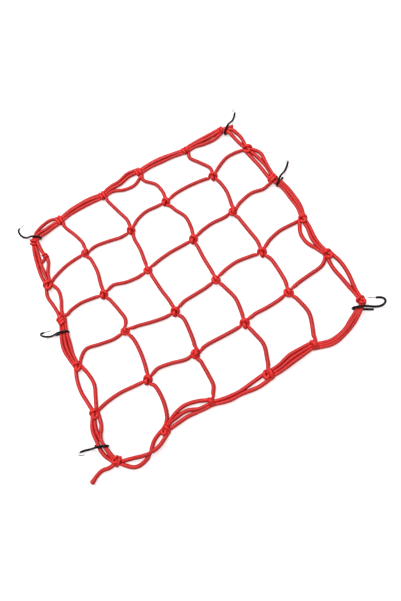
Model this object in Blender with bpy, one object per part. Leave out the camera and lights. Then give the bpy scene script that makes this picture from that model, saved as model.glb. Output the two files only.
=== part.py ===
"""Elastic cargo net: one braided cord tied into a 6 x 6 lattice of knots, with six wire hooks.

The net lies flat on the ground, X along its top side, Y up its left side and Z up.
All sizes below are in millimetres and are turned into metres where the meshes are made.
Columns are counted from the left (0 to 5) and rows from the top (0 to 5).
"""

import math
from collections import namedtuple

import bmesh
import bpy
from mathutils import Matrix, Vector

MM = 0.001

# ---------------------------------------------------------------- cord
CORD_RADIUS = 2.0            # round braided elastic, 4 mm across
CORD_REST = 2.15             # height of a lying cord's centre, just clear of the ground
CORD_TILT = math.radians(28)  # turns the cord's six flats so that cords lie side by side on a flat
UNEVEN_LIE = 0.07            # step in height and turn between one cord and the next, so that no two
UNEVEN_TURN = math.radians(1.7)    # cords share a face where they meet
PAST_KNOT = 1.3              # a cord runs this far past the middle of the knot that it ends in
INNER_PIECES = 6             # straight pieces in one mesh side
BORDER_PIECES = 6            # straight pieces in one cord of the outer sides

# ---------------------------------------------------------------- knots
KNOT_CENTRE = 2.9            # height of a knot's middle
KNOT_HALF_HEIGHT = 4.2
KNOT_SEGMENTS = 8            # flats round a knot
KNOT_GROOVE = 0.76           # radius between two turns, as a share of the turn's radius
KNOT_SHOULDER = 0.60         # radius at a knot's ends

# ---------------------------------------------------------------- hooks
WIRE_RADIUS = 1.2            # wire with its coating
BARE_RADIUS = 0.9            # bare wire at the tip
SEAT = 0.4                   # clearance of the wire to the cords in its eye
EYE_BEND = WIRE_RADIUS + CORD_RADIUS + SEAT      # radius of the eye round the cords
EYE_BACK = 3.6               # the eye's bend lies this far behind the middle of the cords
TAIL_REACH = 10.0            # the wire's end lies this far in front of it
TAIL_ASIDE = 2.7             # and this far beside the shank
SHANK_TOP = 5.0              # the shank starts to drop here
SHANK_FOOT = 17.0            # and has reached the ground here
MOUTH_CENTRE = 20.5          # middle of the J bend
MOUTH_RADIUS = 6.0
TIP_LENGTH = 9.0
TIP_FLARE = 1.0
WIRE_REST = WIRE_RADIUS + 0.05
LIFTED_CORD = WIRE_REST + EYE_BEND               # cord centre where it passes over the wire
LIFT_FLAT = 5.0              # the cords are fully lifted this far round an eye
LIFT_END = 17.0              # and lie on the ground again from here

# Middle of the finished outline, so that the part is centred on its own frame.
OUTLINE_CENTRE = Vector((-6.3, 7.4))

FLAT_ENOUGH = math.radians(1.0)    # faces that meet at less than this are joined
NET_TRIANGLES = 11600        # what the fused net is thinned to
GROUND_FACES = 0.08          # what lies lower than this is a knot's flat foot, and is level

Knot = namedtuple("Knot", "x y along across angle turns")
Hook = namedtuple("Hook", "name x y heading roll tail")
Strand = namedtuple("Strand", "start first middle last end over")

# Knots row by row from the top.  x and y: middle; along: length on the axis its turns run round;
# across: width; angle: that axis from X, in degrees; turns: ridges that show.
KNOTS = {
    (0, 0): Knot(-140, 152, 10, 10, 60, 2),
    (1, 0): Knot(-98, 161, 9, 16, 0, 2),
    (2, 0): Knot(-32, 156, 8, 13, -5, 2),
    (3, 0): Knot(21, 156, 10, 14, -5, 2),
    (4, 0): Knot(87, 146, 8, 12, -5, 2),
    (5, 0): Knot(136, 141, 7, 12, -8, 2),
    (0, 1): Knot(-146, 85, 14, 12, 95, 3),
    (1, 1): Knot(-86, 95, 11, 10, 135, 2),
    (2, 1): Knot(-23, 87, 11, 10, 55, 2),
    (3, 1): Knot(32, 95, 11, 11, 45, 2),
    (4, 1): Knot(97, 89, 11, 11, 10, 2),
    (5, 1): Knot(150, 96, 12, 11, 95, 2),
    (0, 2): Knot(-149, 31, 16, 11, 100, 3),
    (1, 2): Knot(-89, 31, 12, 10, 50, 2),
    (2, 2): Knot(-29, 27, 11, 10, 45, 2),
    (3, 2): Knot(36, 29, 12, 10, 65, 2),
    (4, 2): Knot(93, 32, 12, 10, 60, 2),
    (5, 2): Knot(152, 41, 10, 12, 90, 2),
    (0, 3): Knot(-154, -31, 15, 11, 90, 3),
    (1, 3): Knot(-86, -25, 11, 10, 30, 2),
    (2, 3): Knot(-25, -38, 12, 10, 55, 2),
    (3, 3): Knot(33, -31, 12, 10, 40, 2),
    (4, 3): Knot(93, -33, 12, 10, 15, 2),
    (5, 3): Knot(152, -25, 12, 11, 70, 2),
    (0, 4): Knot(-158, -91, 11, 11, 90, 2),
    (1, 4): Knot(-88, -90, 12, 10, 55, 2),
    (2, 4): Knot(-28, -94, 12, 11, 15, 2),
    (3, 4): Knot(34, -94, 12, 10, 45, 2),
    (4, 4): Knot(92, -90, 12, 11, 50, 2),
    (5, 4): Knot(150, -78, 13, 10, 90, 3),
    (0, 5): Knot(-158, -149, 11, 11, -50, 2),
    (1, 5): Knot(-96, -147, 13, 11, 15, 2),
    (2, 5): Knot(-39, -148, 9, 11, -15, 2),
    (3, 5): Knot(27, -156, 11, 13, -10, 2),
    (4, 5): Knot(83, -154, 9, 12, -15, 2),
    (5, 5): Knot(148, -140, 12, 11, 90, 2),
}

# Knots that are not on a crossing: the second half of the top right corner, and the one that ties
# in a cord end beside the left side.
CORNER_KNOT = Knot(149, 131, 8, 9, 110, 2)
SIDE_KNOT = Knot(-134, 124, 8, 8, 100, 2)

# Mesh sides that run across.  Key: left knot (column, row); values: y at a quarter, half and three
# quarters of the way to the next knot on the right.
ACROSS = {
    (0, 1): (91, 95, 96),
    (1, 1): (96, 92, 87),
    (2, 1): (96, 99, 97),
    (3, 1): (98, 97, 94),
    (4, 1): (97, 102, 101),
    (0, 2): (37, 38, 35),
    (1, 2): (35, 29, 26),
    (2, 2): (30, 31, 30),
    (3, 2): (33, 34, 32),
    (4, 2): (38, 40, 36),
    (0, 3): (-18, -22, -26),
    (1, 3): (-28, -33, -37),
    (2, 3): (-33, -33, -33),
    (3, 3): (-27, -26, -29),
    (4, 3): (-25, -22, -23),
    (0, 4): (-87, -86, -88),
    (1, 4): (-85, -88, -93),
    (2, 4): (-92, -93, -94),
    (3, 4): (-91, -92, -92),
    (4, 4): (-87, -86, -85),
}

# Mesh sides that run down.  Key: upper knot (column, row); values: x at a quarter, half and three
# quarters of the way to the knot below.
DOWN = {
    (1, 0): (-94, -88, -84),
    (2, 0): (-29, -25, -21),
    (3, 0): (23, 33, 35),
    (4, 0): (87, 94, 100),
    (1, 1): (-84, -84, -87),
    (2, 1): (-25, -25, -27),
    (3, 1): (36, 42, 41),
    (4, 1): (100, 100, 97),
    (1, 2): (-85, -82, -80),
    (2, 2): (-28, -27, -25),
    (3, 2): (35, 34, 34),
    (4, 2): (94, 95, 96),
    (1, 3): (-82, -82, -84),
    (2, 3): (-21, -22, -24),
    (3, 3): (37, 40, 38),
    (4, 3): (97, 97, 96),
    (1, 4): (-84, -84, -87),
    (2, 4): (-28, -28, -29),
    (3, 4): (37, 39, 34),
    (4, 4): (96, 97, 91),
}

# Cords of the outer sides.  Values: y (top and bottom) or x (left and right) where a cord leaves
# the first knot, at a quarter, half and three quarters of the way, and where it meets the next
# knot; over: how far it is lifted at the half and the three quarters, where it crosses another.
TOP = {
    0: (Strand(155, 164, 169, 169, 165, 0), Strand(153, 159.3, 159, 160, 161, 0),
        Strand(151, 155.8, 155, 156, 157, 0)),
    1: (Strand(165, 165.3, 165.2, 163.2, 160, 0), Strand(161, 161.6, 161.6, 159.6, 156, 0),
        Strand(157, 158, 158, 156, 152, 0)),
    2: (Strand(160, 162.2, 162, 164.5, 162, 0), Strand(156, 158.4, 158.3, 160.8, 158, 0),
        Strand(152, 154.5, 145.5, 142, 150, 0)),
    3: (Strand(160, 159.3, 157, 152.7, 149.6, 0), Strand(156, 155.6, 153.3, 149, 146, 0),
        Strand(152, 152, 149.6, 145.3, 142.4, 0)),
    4: (Strand(150, 148.2, 146.2, 145, 145, 0), Strand(146, 144.5, 142.5, 141.2, 141.4, 0),
        Strand(142, 140.5, 136.5, 136.5, 138, 0)),
}
BOTTOM = {
    0: (Strand(-150, -155, -159.5, -158.5, -151, 0), Strand(-152, -165.5, -162, -152, -146, 3)),
    1: (Strand(-144, -140, -137, -140, -146, 0), Strand(-147, -143, -144, -148, -148, 0),
        Strand(-150, -148, -149, -151.5, -151, 0)),
    2: (Strand(-147, -152, -154, -154, -153, 0), Strand(-150, -156, -158, -161.5, -160, 0)),
    3: (Strand(-153, -153, -150, -150.5, -151, 0), Strand(-156, -156, -154, -154, -154, 0),
        Strand(-159, -159, -157.5, -157, -157, 0)),
    4: (Strand(-153, -159.5, -157.5, -150.4, -143.6, 0), Strand(-155, -161.5, -159.5, -152, -144.4, 2),
        Strand(-157, -163.5, -161.5, -154, -145.2, 0)),
}
LEFT = {
    0: (Strand(-142, -146.5, -148, -149.5, -149, 0), Strand(-139, -143, -144.5, -146, -146, 0),
        Strand(-137, -137, -134, -139, -143, 0)),
    1: (Strand(-149, -153.5, -152.5, -151, -151, 0), Strand(-143, -137.5, -139, -144.5, -147, 0)),
    2: (Strand(-152, -156.5, -161, -158, -157, 0), Strand(-149, -153.2, -157.2, -155.2, -154, 0),
        Strand(-146, -150, -153.5, -152.5, -151, 0)),
    3: (Strand(-157, -162, -163, -160.5, -159, 0), Strand(-151, -146, -145.5, -151, -156, 0)),
    4: (Strand(-161, -168, -168.5, -167, -160, 0), Strand(-158, -164.5, -165.5, -163.7, -158, 0),
        Strand(-155, -157.5, -162.3, -160.2, -156, 0)),
}
RIGHT = {
    0: (Strand(147, 146, 147.5, 149, 149, 0), Strand(150, 152, 153, 151.5, 151, 0)),
    1: (Strand(147, 148.5, 149.5, 150.5, 150, 0), Strand(150, 154.5, 155, 155, 153, 0),
        Strand(153, 160, 158.5, 156.5, 155, 2)),
    2: (Strand(152, 155.5, 155.5, 155, 151, 0), Strand(156, 159.5, 160.5, 159.5, 154, 0)),
    3: (Strand(149, 140, 138.5, 143.5, 148, 0), Strand(151, 151, 147.5, 148.5, 150, 0),
        Strand(153, 153.5, 150.5, 151, 152, 0)),
    4: (Strand(148, 146, 146.5, 147.5, 147, 0), Strand(153, 156.5, 155.5, 150.5, 149, 0)),
}

# Loose ends: the points that each one lies through.
CORNER_TIE = ((136, 142), (141, 139.5), (146, 134.5), (149, 131))
CORNER_TIE_BACK = ((136, 139), (140, 136), (144, 131.5), (148, 128))
TAIL = ((-158, -150), (-167, -151), (-176, -149.5), (-184, -151.5), (-190.5, -155))
CUT_END = ((147, 133), (150, 136), (152.5, 137))
TUCKED_END = ((-134, 122), (-140, 120), (-146, 118))

# Hooks.  x and y: middle of the cords in the eye; heading: way the shank points, in degrees from X;
# roll: lean of the J bend, 0 flat to the left of the shank, 90 upright and 180 flat to the right;
# tail: side of the shank that the wire's end lies on, 1 left and -1 right.
HOOKS = (
    Hook("hook_1", -132.5, 157.5, 130, 135, 1),
    Hook("hook_2", -153.2, 16.5, 157, 109, 1),
    Hook("hook_3", -164.7, -127.5, 167, 62, -1),
    Hook("hook_4", 142.5, 136.0, 36, 101, -1),
    Hook("hook_5", 156.5, 34.0, 34, 93, -1),
    Hook("hook_6", 142.0, -147.6, -25, 61, -1),
)


# ---------------------------------------------------------------- paths
def smooth_path(points, pieces):
    """Return pieces + 1 points of a smooth curve through the given points."""
    points = [Vector(p) for p in points]
    ends = [2 * points[0] - points[1]] + points + [2 * points[-1] - points[-2]]
    spans = len(points) - 1
    path = []
    for step in range(pieces + 1):
        along = spans * step / pieces
        span = min(int(along), spans - 1)
        t = along - span
        p0, p1, p2, p3 = ends[span:span + 4]
        path.append(0.5 * (2 * p1 + (p2 - p0) * t + (2 * p0 - 5 * p1 + 4 * p2 - p3) * t * t
                           + (3 * p1 - p0 - 3 * p2 + p3) * t ** 3))
    return path


def lift_near_hooks(x, y):
    """Return how far a cord is lifted at (x, y) by the wire that passes under it."""
    near = min(math.hypot(x - hook.x, y - hook.y) for hook in HOOKS)
    share = min(max((LIFT_END - near) / (LIFT_END - LIFT_FLAT), 0.0), 1.0)
    return (LIFTED_CORD - CORD_REST) * share * share * (3 - 2 * share)


def run_past_ends(path):
    """Lengthen a path a little at both ends, so that its ends lie inside their knots."""
    path[0] = path[0] + (path[0] - path[1]).normalized() * PAST_KNOT
    path[-1] = path[-1] + (path[-1] - path[-2]).normalized() * PAST_KNOT
    return path


def lying_path(flat_points, pieces, over=0.0):
    """Return a cord's path on the ground through flat (x, y) points, lifted where it has to be."""
    path = []
    for step, point in enumerate(smooth_path(flat_points, pieces)):
        share = step / pieces
        hump = over * max(0.0, math.sin(math.pi * min(max((share - 0.25) / 0.75, 0.0), 1.0)))
        height = CORD_REST + max(hump, lift_near_hooks(point.x, point.y))
        path.append(Vector((point.x, point.y, height)))
    return path


def quarter_points(first, last, start, strand_values, end, across):
    """Return the five flat points of a cord between two knots.

    first, last: the knots; strand_values: the three values between them; start, end: where the
    cord leaves and meets them; across: True where the cord runs along X.
    """
    values = (start,) + tuple(strand_values) + (end,)
    points = []
    for index, value in enumerate(values):
        share = index / 4
        if across:
            points.append((first.x + (last.x - first.x) * share, value))
        else:
            points.append((value, first.y + (last.y - first.y) * share))
    return points


def cord_paths():
    """Return the paths of all the cords of the net."""
    paths = []
    for (column, row), values in ACROSS.items():
        left, right = KNOTS[(column, row)], KNOTS[(column + 1, row)]
        flat = quarter_points(left, right, left.y, values, right.y, True)
        paths.append(run_past_ends(lying_path(flat, INNER_PIECES)))
    for (column, row), values in DOWN.items():
        upper, lower = KNOTS[(column, row)], KNOTS[(column, row + 1)]
        flat = quarter_points(upper, lower, upper.x, values, lower.x, False)
        paths.append(run_past_ends(lying_path(flat, INNER_PIECES)))
    for side, fixed, across in ((TOP, 0, True), (BOTTOM, 5, True), (LEFT, 0, False), (RIGHT, 5, False)):
        for index, strands in side.items():
            if across:
                first, last = KNOTS[(index, fixed)], KNOTS[(index + 1, fixed)]
            else:
                first, last = KNOTS[(fixed, index)], KNOTS[(fixed, index + 1)]
            if side is RIGHT and index == 0:
                first = CORNER_KNOT
            for strand in strands:
                middle = (strand.first, strand.middle, strand.last)
                flat = quarter_points(first, last, strand.start, middle, strand.end, across)
                paths.append(run_past_ends(lying_path(flat, BORDER_PIECES, strand.over)))
    for points, pieces in ((CORNER_TIE, 4), (CORNER_TIE_BACK, 4), (TAIL, 7), (CUT_END, 3), (TUCKED_END, 2)):
        paths.append(lying_path(points, pieces))
    return paths


def hook_path(hook):
    """Return the centreline of a hook's wire and the share of the wire radius at each point."""
    tail = Vector((TAIL_REACH, TAIL_ASIDE * hook.tail, WIRE_REST))
    path = [tail, tail.lerp(Vector((-EYE_BACK, 0, WIRE_REST)), 0.55)]
    for step in range(7):
        angle = math.pi * step / 6
        path.append(Vector((-EYE_BACK - EYE_BEND * math.sin(angle), 0,
                            WIRE_REST + EYE_BEND * (1 - math.cos(angle)))))
    top = WIRE_REST + 2 * EYE_BEND
    drop = SHANK_FOOT - SHANK_TOP
    path.append(Vector((SHANK_TOP, 0, top)))
    for share in (0.25, 0.5, 0.75, 1.0):
        eased = share * share * (3 - 2 * share)
        path.append(Vector((SHANK_TOP + drop * share, 0, top + (WIRE_REST - top) * eased)))
    lean = math.radians(hook.roll)
    outward = Vector((0, math.cos(lean), math.sin(lean)))
    foot = Vector((MOUTH_CENTRE, 0, WIRE_REST))
    for step in range(8):
        angle = math.pi * step / 7
        path.append(foot + Vector((MOUTH_RADIUS * math.sin(angle), 0, 0))
                    + outward * MOUTH_RADIUS * (1 - math.cos(angle)))
    bare_from = len(path)
    mouth = path[-1]
    back = Vector((-1, 0, 0))
    path.append(mouth + back * 0.25)
    path.append(mouth + back * TIP_LENGTH * 0.5)
    path.append(mouth + back * TIP_LENGTH + outward * TIP_FLARE)
    shares = [1.0] * bare_from + [BARE_RADIUS / WIRE_RADIUS] * (len(path) - bare_from)
    place = Matrix.Translation((hook.x, hook.y, 0)) @ Matrix.Rotation(math.radians(hook.heading), 4, "Z")
    return [place @ point for point in path], shares


# ---------------------------------------------------------------- solids
def clear_scene():
    """Remove everything that a new file holds."""
    for thing in list(bpy.data.objects):
        bpy.data.objects.remove(thing, do_unlink=True)


def new_material(name, colour, roughness, metallic):
    """Return a plain Principled material."""
    material = bpy.data.materials.new(name)
    material.use_nodes = True
    shader = material.node_tree.nodes["Principled BSDF"]
    shader.inputs["Base Color"].default_value = (*colour, 1.0)
    shader.inputs["Roughness"].default_value = roughness
    shader.inputs["Metallic"].default_value = metallic
    return material


def to_frame(point):
    """Return a point in metres, with the outline's middle at the origin."""
    return Vector((point[0] - OUTLINE_CENTRE.x, point[1] - OUTLINE_CENTRE.y, point[2])) * MM


def tube_mesh(name, path, radius, round_steps, shares=None, tilt=0.0):
    """Return the closed mesh of a round tube along a path."""
    curve = bpy.data.curves.new(name, "CURVE")
    curve.dimensions = "3D"
    curve.bevel_depth = radius * MM
    curve.bevel_resolution = round_steps
    curve.use_fill_caps = True
    spline = curve.splines.new("POLY")
    spline.points.add(len(path) - 1)
    for index, point in enumerate(path):
        spline.points[index].co = (*to_frame(point), 1.0)
        spline.points[index].tilt = tilt
        spline.points[index].radius = shares[index] if shares else 1.0
    holder = bpy.data.objects.new(name + "_line", curve)
    bpy.context.scene.collection.objects.link(holder)
    bpy.context.view_layer.update()
    depsgraph = bpy.context.evaluated_depsgraph_get()
    mesh = bpy.data.meshes.new_from_object(holder.evaluated_get(depsgraph))
    bpy.data.objects.remove(holder, do_unlink=True)
    bpy.data.curves.remove(curve)
    shape = bmesh.new()
    shape.from_mesh(mesh)
    bmesh.ops.remove_doubles(shape, verts=shape.verts, dist=0.00001)
    bmesh.ops.recalc_face_normals(shape, faces=shape.faces)
    shape.to_mesh(mesh)
    shape.free()
    return mesh


def knot_mesh(name, knot):
    """Return a ridged knot: turns side by side on one axis, standing flat on the ground."""
    rings = 2 * knot.turns + 1
    shape = bmesh.new()
    bmesh.ops.create_uvsphere(shape, u_segments=KNOT_SEGMENTS, v_segments=rings + 1, radius=1.0)
    for vert in shape.verts:
        polar = math.acos(max(-1.0, min(1.0, vert.co.z)))
        ring = round(polar / math.pi * (rings + 1))
        if ring in (0, rings + 1):
            vert.co = Vector((0, 0, 1.0 if ring == 0 else -1.0))
            continue
        around = math.atan2(vert.co.y, vert.co.x)
        if ring % 2 == 0:
            radius = 1.0
        elif ring in (1, rings):
            radius = KNOT_SHOULDER
        else:
            radius = KNOT_GROOVE
        vert.co = Vector((radius * math.cos(around), radius * math.sin(around),
                          math.cos(math.pi * (ring * 0.84 + (rings + 1) * 0.08) / (rings + 1))))
    shape_to_world = (Matrix.Translation(to_frame((knot.x, knot.y, KNOT_CENTRE)))
                      @ Matrix.Rotation(math.radians(knot.angle), 4, "Z")
                      @ Matrix.Diagonal((knot.along / 2 * MM, knot.across / 2 * MM, KNOT_HALF_HEIGHT * MM, 1.0))
                      @ Matrix.Rotation(math.radians(90), 4, "Y")
                      @ Matrix.Rotation(math.radians(180 / KNOT_SEGMENTS), 4, "Z"))
    bmesh.ops.transform(shape, matrix=shape_to_world, verts=shape.verts)
    cut = bmesh.ops.bisect_plane(shape, geom=shape.verts[:] + shape.edges[:] + shape.faces[:],
                                 plane_co=(0, 0, 0), plane_no=(0, 0, -1), clear_outer=True)
    rim = [item for item in cut["geom_cut"] if isinstance(item, bmesh.types.BMEdge)]
    bmesh.ops.holes_fill(shape, edges=rim, sides=0)
    bmesh.ops.recalc_face_normals(shape, faces=shape.faces)
    mesh = bpy.data.meshes.new(name)
    shape.to_mesh(mesh)
    shape.free()
    return mesh


def add_part(name, mesh, material, collection):
    """Put a mesh into the scene as one finished piece, shaded smooth."""
    part = bpy.data.objects.new(name, mesh)
    mesh.materials.clear()
    mesh.materials.append(material)
    for polygon in mesh.polygons:
        polygon.use_smooth = True
    collection.objects.link(part)
    return part


def fuse(meshes, name, cutters):
    """Return one mesh that is the union of all the given closed meshes."""
    lumps = bmesh.new()
    for mesh in meshes[1:]:
        lumps.from_mesh(mesh)
    joined = bpy.data.meshes.new(name + "_joined")
    lumps.to_mesh(joined)
    lumps.free()
    base = bpy.data.objects.new(name + "_base", meshes[0])
    rest = bpy.data.objects.new(name + "_rest", joined)
    bpy.context.scene.collection.objects.link(base)
    cutters.objects.link(rest)
    rest.hide_render = True
    rest.display_type = "WIRE"
    union = base.modifiers.new("Union", "BOOLEAN")
    union.operation = "UNION"
    union.solver = "EXACT"
    union.use_self = True
    union.object = rest
    bpy.context.view_layer.update()
    depsgraph = bpy.context.evaluated_depsgraph_get()
    fused = bpy.data.meshes.new_from_object(base.evaluated_get(depsgraph))
    fused.name = name
    bpy.data.objects.remove(base, do_unlink=True)
    bpy.data.objects.remove(rest, do_unlink=True)
    shape = bmesh.new()
    shape.from_mesh(fused)
    bmesh.ops.remove_doubles(shape, verts=shape.verts, dist=0.0000002)
    bmesh.ops.dissolve_limit(shape, angle_limit=FLAT_ENOUGH, verts=shape.verts, edges=shape.edges)
    bmesh.ops.triangulate(shape, faces=shape.faces)
    shape.to_mesh(fused)
    shape.free()
    return fused


def thin_out(mesh, triangles):
    """Return the mesh with its smallest faces merged until it has about the given number."""
    holder = bpy.data.objects.new(mesh.name + "_full", mesh)
    bpy.context.scene.collection.objects.link(holder)
    thinner = holder.modifiers.new("Thinner", "DECIMATE")
    thinner.decimate_type = "COLLAPSE"
    thinner.ratio = min(1.0, triangles / len(mesh.polygons))
    bpy.context.view_layer.update()
    depsgraph = bpy.context.evaluated_depsgraph_get()
    thinned = bpy.data.meshes.new_from_object(holder.evaluated_get(depsgraph))
    bpy.data.objects.remove(holder, do_unlink=True)
    thinned.name = mesh.name
    for vert in thinned.vertices:
        if vert.co.z < GROUND_FACES * MM:
            vert.co.z = 0.0
    return thinned


def build():
    """Build the net and its hooks."""
    clear_scene()
    parts = bpy.data.collections.new("cargo_net")
    cutters = bpy.data.collections.new("cutters")
    bpy.context.scene.collection.children.link(parts)
    bpy.context.scene.collection.children.link(cutters)
    cord = new_material("red_elastic_cord", (0.72, 0.045, 0.045), 0.75, 0.0)
    coating = new_material("black_coating", (0.012, 0.012, 0.013), 0.35, 0.0)

    lumps = []
    for index, path in enumerate(cord_paths()):
        settled = [point + Vector((0, 0, UNEVEN_LIE * (index % 5))) for point in path]
        turned = CORD_TILT + UNEVEN_TURN * (index % 4)
        lumps.append(tube_mesh("cord_%02d" % index, settled, CORD_RADIUS, 1, tilt=turned))
    knots = list(KNOTS.values()) + [CORNER_KNOT, SIDE_KNOT]
    lumps += [knot_mesh("knot_%02d" % index, knot) for index, knot in enumerate(knots)]
    net = thin_out(fuse(lumps, "net", cutters), NET_TRIANGLES)
    add_part("net", net, cord, parts)

    for hook in HOOKS:
        path, shares = hook_path(hook)
        add_part(hook.name, tube_mesh(hook.name, path, WIRE_RADIUS, 3, shares), coating, parts)


build()
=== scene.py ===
"""Cargo net of red braided elastic cord with six coated wire hooks, laid out on a pale floor.

The net lies flat, X along its top side, Y up its left side and Z up.  Sizes are in millimetres and
become metres where the meshes are made.  Columns are counted from the left (0 to 5) and rows from
the top (0 to 5).
"""

import logging
import math
from dataclasses import dataclass, field
from enum import Enum
from typing import Callable, ClassVar, Sequence

import bpy
from mathutils import Euler, Matrix, Vector


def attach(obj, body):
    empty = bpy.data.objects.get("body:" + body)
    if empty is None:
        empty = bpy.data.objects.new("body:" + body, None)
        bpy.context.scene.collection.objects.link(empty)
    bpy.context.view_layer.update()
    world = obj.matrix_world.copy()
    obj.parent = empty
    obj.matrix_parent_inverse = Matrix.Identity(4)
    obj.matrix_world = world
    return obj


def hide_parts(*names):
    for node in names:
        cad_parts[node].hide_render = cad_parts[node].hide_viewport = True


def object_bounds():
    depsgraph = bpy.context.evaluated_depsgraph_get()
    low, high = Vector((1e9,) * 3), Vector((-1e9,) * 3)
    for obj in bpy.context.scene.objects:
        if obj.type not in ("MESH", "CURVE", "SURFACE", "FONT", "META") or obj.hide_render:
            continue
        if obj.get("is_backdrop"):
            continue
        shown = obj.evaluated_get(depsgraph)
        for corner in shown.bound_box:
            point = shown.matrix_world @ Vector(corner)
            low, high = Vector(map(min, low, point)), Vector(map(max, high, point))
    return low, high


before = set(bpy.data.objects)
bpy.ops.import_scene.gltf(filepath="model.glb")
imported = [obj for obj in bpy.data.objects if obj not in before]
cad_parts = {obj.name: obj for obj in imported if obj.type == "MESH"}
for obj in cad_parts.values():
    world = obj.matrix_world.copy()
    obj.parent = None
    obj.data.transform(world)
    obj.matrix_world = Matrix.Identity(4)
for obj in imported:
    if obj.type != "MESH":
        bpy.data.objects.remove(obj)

log = logging.getLogger("cargo_net")

MM = 0.001
OUTLINE_CENTRE = Vector((-6.3, 7.4))  # middle of the outline on the plan

# Numbers that a cord keeps at each of its corners.
LIT_SHARE = "lit_share"      # share of the painted light that brightens the red: 1 in a knot, 0 in a drawn-out strand
UPPERMOST = "uppermost"  # 1 on top of the cord, 0 from half way down; sets the painted shade on the flanks

# Points of a cord, each as two distances on the ground and a height.
Route = tuple[tuple[float, float, float], ...]


# ------------------------------------------------------------------ plan of the net
class Tie(Enum):
    """How a knot is tied, as seen from above."""

    CAPPED = "one turn lies across the top and a lobe hangs out below it"
    ROUND = "a round lobe lies on top with a turn curled round its foot"
    WRAPPED = "turns side by side round the cords of an outer side"
    CROSSED = "two turns that cross on top, round the cords of an outer side"
    LOBED = "one turn across an outer side's cords and a lobe that hangs back from it"


@dataclass(frozen=True)
class Knot:
    """One knot of the plan.

    x, y: its middle.  along, across: length on the axis that its turns run round, and width.
    angle: that axis from X in degrees, or how far an inner knot is turned.  tie: how it is tied.
    turns: turns that show.
    """

    x: float
    y: float
    along: float
    across: float
    angle: float
    tie: Tie
    turns: int = 2

    @property
    def place(self) -> Vector:
        """Return the knot's middle on the ground."""
        return Vector((self.x, self.y, 0.0))


@dataclass(frozen=True)
class Strand:
    """One cord of an outer side between two knots.

    start, end: where it leaves the first knot and meets the next.  first, middle, last: where it
    lies at a quarter, half and three quarters of the way.  over: how far it is lifted where it
    crosses its neighbour.  ride: how far it rests up on its neighbours.
    """

    start: float
    first: float
    middle: float
    last: float
    end: float
    over: float = 0.0
    ride: float = 0.0


@dataclass(frozen=True)
class HookPlace:
    """Where a hook hangs, and how it was bent.

    x, y: middle of the cords in its eye.  heading: way that its shank points, in degrees from X.
    roll: lean of its bend, 0 flat to the left of the shank, 90 upright, 180 flat to the right.
    bent: degrees of the bend.  coated: degrees of it that the coating covers.  past: how far the
    coating goes on past them.  tip: length of the straight end.  reach, aside: where the tail
    stops, along the shank and to the left of it.
    """

    name: str
    x: float
    y: float
    heading: float
    roll: float
    bent: float
    coated: float
    past: float
    tip: float
    reach: float
    aside: float


# The inner knots, then those of the outer sides.  Key: column and row.
KNOTS = {
    (1, 1): Knot(-86, 95, 11, 10, -38, Tie.ROUND),
    (2, 1): Knot(-23, 87, 11, 10, 0, Tie.CAPPED),
    (3, 1): Knot(32, 95, 11, 11, -30, Tie.CAPPED),
    (4, 1): Knot(97, 89, 11, 11, 0, Tie.CAPPED),
    (1, 2): Knot(-89, 31, 12, 10, -10, Tie.CAPPED),
    (2, 2): Knot(-29, 27, 11, 10, 12, Tie.ROUND),
    (3, 2): Knot(36, 29, 12, 10, -16, Tie.CAPPED),
    (4, 2): Knot(93, 32, 12, 10, -32, Tie.ROUND),
    (1, 3): Knot(-86, -25, 11, 10, 0, Tie.ROUND),
    (2, 3): Knot(-25, -38, 12, 10, -8, Tie.CAPPED),
    (3, 3): Knot(33, -31, 12, 10, 6, Tie.ROUND),
    (4, 3): Knot(93, -33, 12, 10, 2, Tie.CAPPED),
    (1, 4): Knot(-88, -90, 12, 10, -18, Tie.CAPPED),
    (2, 4): Knot(-28, -94, 12, 11, -42, Tie.ROUND),
    (3, 4): Knot(34, -94, 12, 10, 5, Tie.CAPPED),
    (4, 4): Knot(92, -90, 12, 11, 0, Tie.ROUND),
    (0, 0): Knot(-140, 150.2, 11.5, 12, 60, Tie.WRAPPED),
    (1, 0): Knot(-97, 159.2, 9, 15, 0, Tie.WRAPPED),
    (2, 0): Knot(-32.6, 155, 8, 13, -5, Tie.WRAPPED),
    (3, 0): Knot(22.3, 155.2, 9, 12.5, -5, Tie.WRAPPED),
    (4, 0): Knot(87.2, 144, 8, 11, -5, Tie.WRAPPED),
    (5, 0): Knot(137, 139.8, 7, 11, -8, Tie.WRAPPED),
    (0, 1): Knot(-146, 84.6, 15, 14, 95, Tie.LOBED),
    (5, 1): Knot(150.4, 95.6, 13, 13, 60, Tie.LOBED),
    (0, 2): Knot(-149, 31, 16, 11, 100, Tie.WRAPPED, 3),
    (5, 2): Knot(152, 39.4, 10, 12, 90, Tie.WRAPPED),
    (0, 3): Knot(-154, -31, 14, 11, 90, Tie.LOBED),
    (5, 3): Knot(152, -25, 12, 11, 70, Tie.LOBED),
    (0, 4): Knot(-158, -91, 14, 12.5, 90, Tie.LOBED),
    (5, 4): Knot(150.2, -77, 14, 11, 90, Tie.LOBED),
    (0, 5): Knot(-156.2, -149.8, 13, 13, -50, Tie.LOBED),
    (1, 5): Knot(-95.4, -148.2, 13, 11, 25, Tie.LOBED),
    (2, 5): Knot(-39, -148, 9, 11, -15, Tie.CROSSED),
    (3, 5): Knot(27, -155.6, 13, 14, -10, Tie.LOBED),
    (4, 5): Knot(83, -154, 9, 12, -15, Tie.CROSSED),
    (5, 5): Knot(148, -140, 12, 11, 95, Tie.LOBED),
}

# Off the crossings: a tied-in end by the left side, and where the right side's cords begin.
TUCK_KNOT = Knot(-134, 124, 8, 8, 100, Tie.WRAPPED)
RIGHT_START = Vector((148.4, 130, 0.0))

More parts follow.
